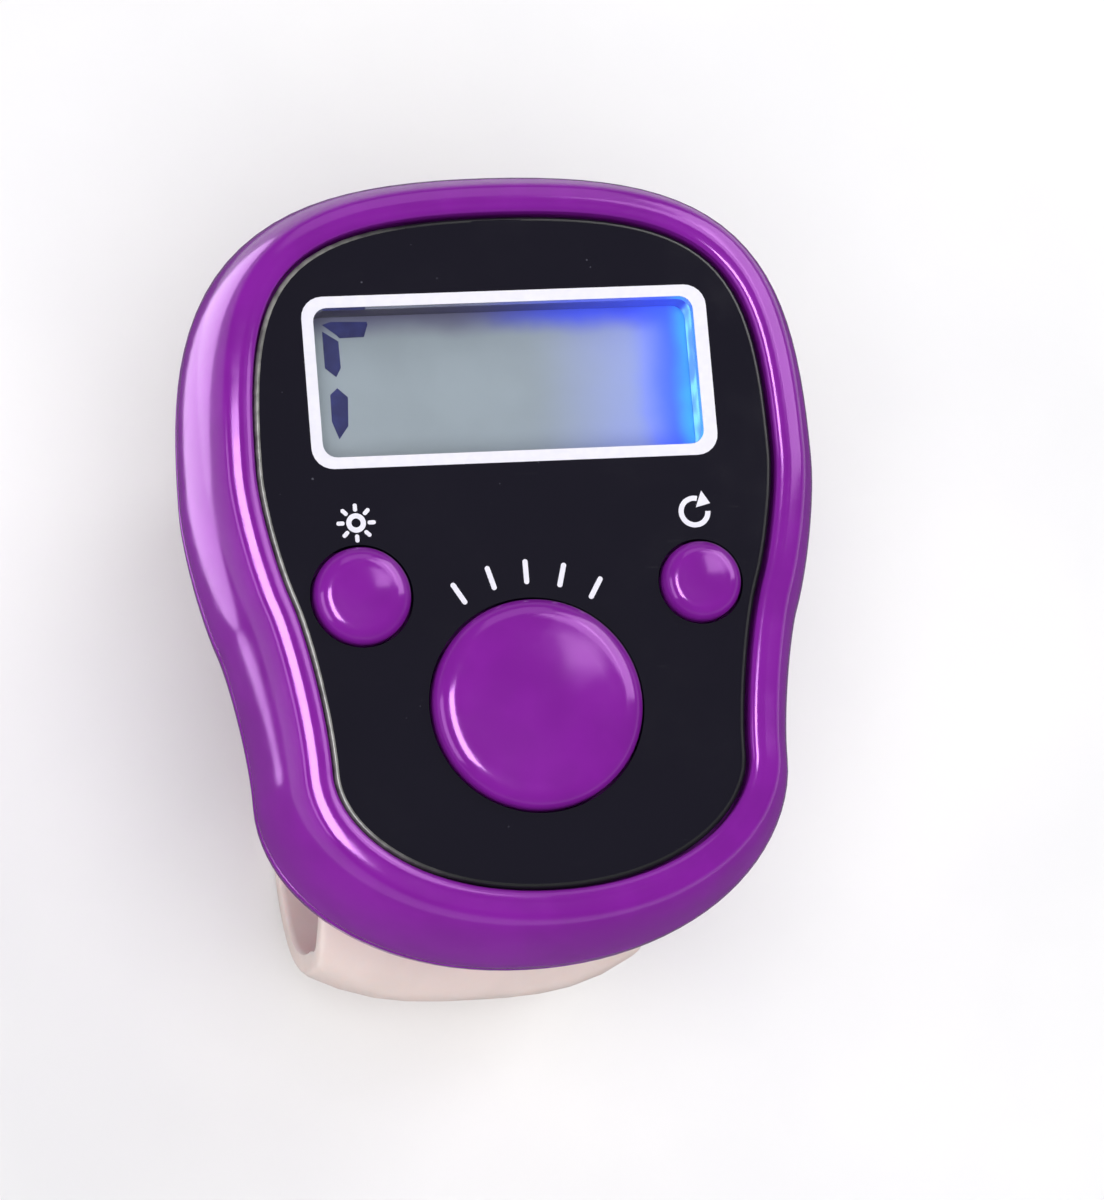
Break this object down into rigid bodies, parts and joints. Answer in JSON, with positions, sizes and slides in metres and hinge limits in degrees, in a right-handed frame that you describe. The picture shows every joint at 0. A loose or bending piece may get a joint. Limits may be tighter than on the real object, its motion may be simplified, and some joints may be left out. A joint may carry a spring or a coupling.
{
  "type": "digital finger counter",
  "caption": "Finger-worn digital tally counter: rounded case with a display window, sprung push buttons, a coin-slot battery door and a soft adjustable finger strap.",
  "frame": {"origin": "centre of the footprint at the height of the strap loop's lowest face, on which the counter stands", "axes": "+Z out of the display face, +Y towards the display's top edge (the object's longest side), +X to the right of the display"},
  "size_m": [0.032, 0.04, 0.0326],
  "materials": {
    "purple_plastic": "moulded, high gloss",
    "black_face": "printed acrylic, high gloss",
    "clear_lens": "clear acrylic, polished",
    "adhesive_film": "film",
    "display_glass": "grey-green liquid crystal glass, satin polariser",
    "silicone_rubber": "matt",
    "milky_light_guide": "milky acrylic",
    "green_board": "solder resist",
    "black_resin": "cast resin",
    "tan_ceramic": "fired ceramic",
    "nickel_steel": "nickel plated",
    "spring_brass": "tinned",
    "milky_tpu": "translucent moulded thermoplastic, satin"
  },
  "bodies": {
    "case": {"front_case": "purple_plastic", "back_case": "purple_plastic", "face_panel": "black_face", "window_lens": "clear_lens", "panel_adhesive": "adhesive_film", "lcd_glass": "display_glass", "count_dome": "silicone_rubber", "light_dome": "silicone_rubber", "reset_dome": "silicone_rubber", "contact_strip_lower": "silicone_rubber", "contact_strip_upper": "silicone_rubber", "light_guide": "milky_light_guide", "backlight_led": "milky_light_guide", "circuit_board": "green_board", "chip_blob": "black_resin", "led_resistor": "black_resin", "filter_capacitor": "tan_ceramic", "button_cell_rear": "nickel_steel", "button_cell_front": "nickel_steel", "case_screw_1": "nickel_steel", "case_screw_2": "nickel_steel", "case_screw_3": "nickel_steel", "case_screw_4": "nickel_steel", "board_screw_1": "nickel_steel", "board_screw_2": "nickel_steel", "board_screw_3": "nickel_steel", "contact_negative": "spring_brass", "contact_positive": "spring_brass", "finger_strap": "milky_tpu"},
    "count_button": {"count_button": "purple_plastic"},
    "light_button": {"light_button": "purple_plastic"},
    "reset_button": {"reset_button": "purple_plastic"},
    "battery_door": {"battery_door": "purple_plastic"}
  },
  "joints": [
    {"name": "count_press", "type": "slide", "parent": "case", "child": "count_button", "axis": [0, 0, -1], "range_m": [0, 0.0008], "stiffness_N_per_m": 900, "springref_m": -0.0003, "deforming": ["count_dome"]},
    {"name": "light_press", "type": "slide", "parent": "case", "child": "light_button", "axis": [0, 0, -1], "range_m": [0, 0.0005], "stiffness_N_per_m": 900, "springref_m": -0.0003, "deforming": ["light_dome"]},
    {"name": "reset_press", "type": "slide", "parent": "case", "child": "reset_button", "axis": [0, 0, -1], "range_m": [0, 0.0005], "stiffness_N_per_m": 900, "springref_m": -0.0003, "deforming": ["reset_dome"]},
    {"name": "battery_door_turn", "type": "hinge", "parent": "case", "child": "battery_door", "pos_m": [0, -0.0035, 0.0177], "axis": [0, 0, -1], "range_deg": [0, 45]}
  ]
}
